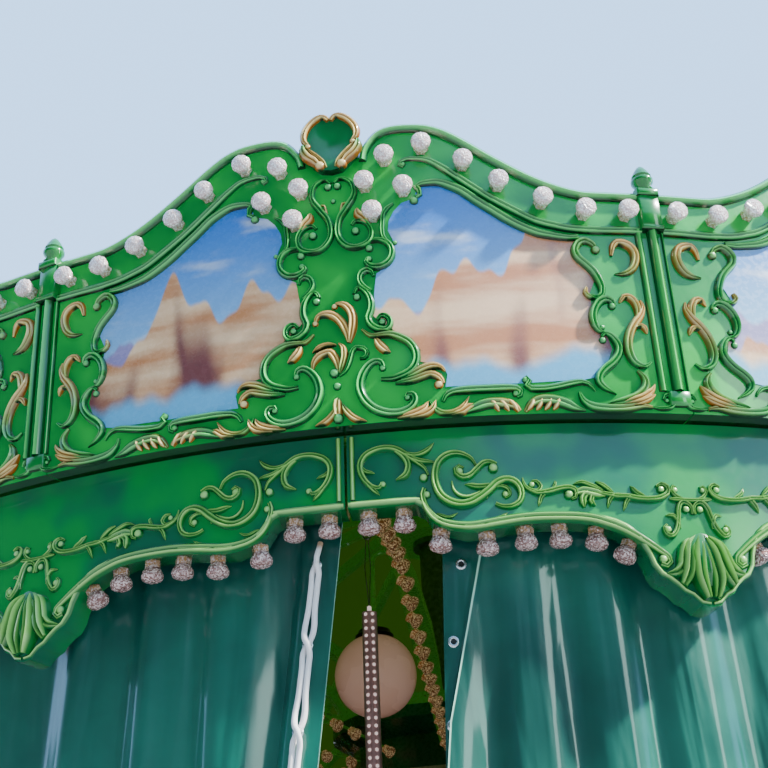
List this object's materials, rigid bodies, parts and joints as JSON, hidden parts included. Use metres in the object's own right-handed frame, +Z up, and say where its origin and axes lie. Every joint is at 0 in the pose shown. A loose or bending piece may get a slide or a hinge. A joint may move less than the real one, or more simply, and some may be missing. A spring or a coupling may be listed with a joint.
{
  "type": "fairground carousel",
  "caption": "Round fairground carousel with a scrolled crown and valance of moulded panels, lamp sockets, curtains and a turning platform.",
  "frame": {"origin": "on the ground under the mast, at the centre of the carousel", "axes": "+Z up the mast; the open front bay faces -Y, with +X to its right"},
  "size_m": [7.6188, 7.6188, 4.51],
  "materials": {
    "crown": "glossy painted glass fibre, greens with gold-brown leaves",
    "valance": "glossy painted glass fibre, teal with light green scrolls",
    "curtain": "glossy coated sheet",
    "pole": "dark polished, beaded",
    "opal_globe": "opal",
    "galvanised_steel": "galvanised",
    "deck_boards": "varnished boards",
    "drum_paint": "gloss paint",
    "frame_paint": "gloss paint",
    "canopy_cloth": "coated roof sheet",
    "rope": "braided cord"
  },
  "bodies": {
    "base": {"ground_frame": "galvanised_steel", "centre_mast": "galvanised_steel"},
    "turntable": {"crown_panel_01": "crown", "crown_panel_02": "crown", "crown_panel_03": "crown", "crown_panel_04": "crown", "crown_panel_05": "crown", "crown_panel_06": "crown", "crown_panel_07": "crown", "crown_panel_08": "crown", "crown_panel_09": "crown", "crown_panel_10": "crown", "crown_panel_11": "crown", "crown_panel_12": "crown", "valance_panel_01": "valance", "valance_panel_02": "valance", "valance_panel_03": "valance", "valance_panel_04": "valance", "valance_panel_05": "valance", "valance_panel_06": "valance", "valance_panel_07": "valance", "valance_panel_08": "valance", "valance_panel_09": "valance", "valance_panel_10": "valance", "valance_panel_11": "valance", "valance_panel_12": "valance", "curtain_01": "curtain", "curtain_02": "curtain", "curtain_03": "curtain", "curtain_04": "curtain", "curtain_05": "curtain", "curtain_06": "curtain", "curtain_07": "curtain", "curtain_08": "curtain", "curtain_09": "curtain", "curtain_10": "curtain", "curtain_11": "curtain", "curtain_12": "curtain", "ride_pole_01": "pole", "ride_pole_02": "pole", "ride_pole_03": "pole", "ride_pole_04": "pole", "ride_pole_05": "pole", "ride_pole_06": "pole", "globe_lamp_01": "opal_globe", "globe_lamp_02": "opal_globe", "globe_lamp_03": "opal_globe", "globe_lamp_04": "opal_globe", "globe_lamp_05": "opal_globe", "globe_lamp_06": "opal_globe", "platform_deck": "deck_boards", "deck_fascia": "deck_boards", "centre_drum": "drum_paint", "eaves_ring": "frame_paint", "rafter_frame": "frame_paint", "ceiling_arches": "frame_paint", "canopy": "canopy_cloth", "roof_cap": "frame_paint", "lacing_rope": "rope"}
  },
  "joints": [
    {"name": "turntable_spin", "type": "hinge", "parent": "base", "child": "turntable", "pos_m": [0, 0, 0], "axis": [0, 0, 1], "continuous": true}
  ]
}
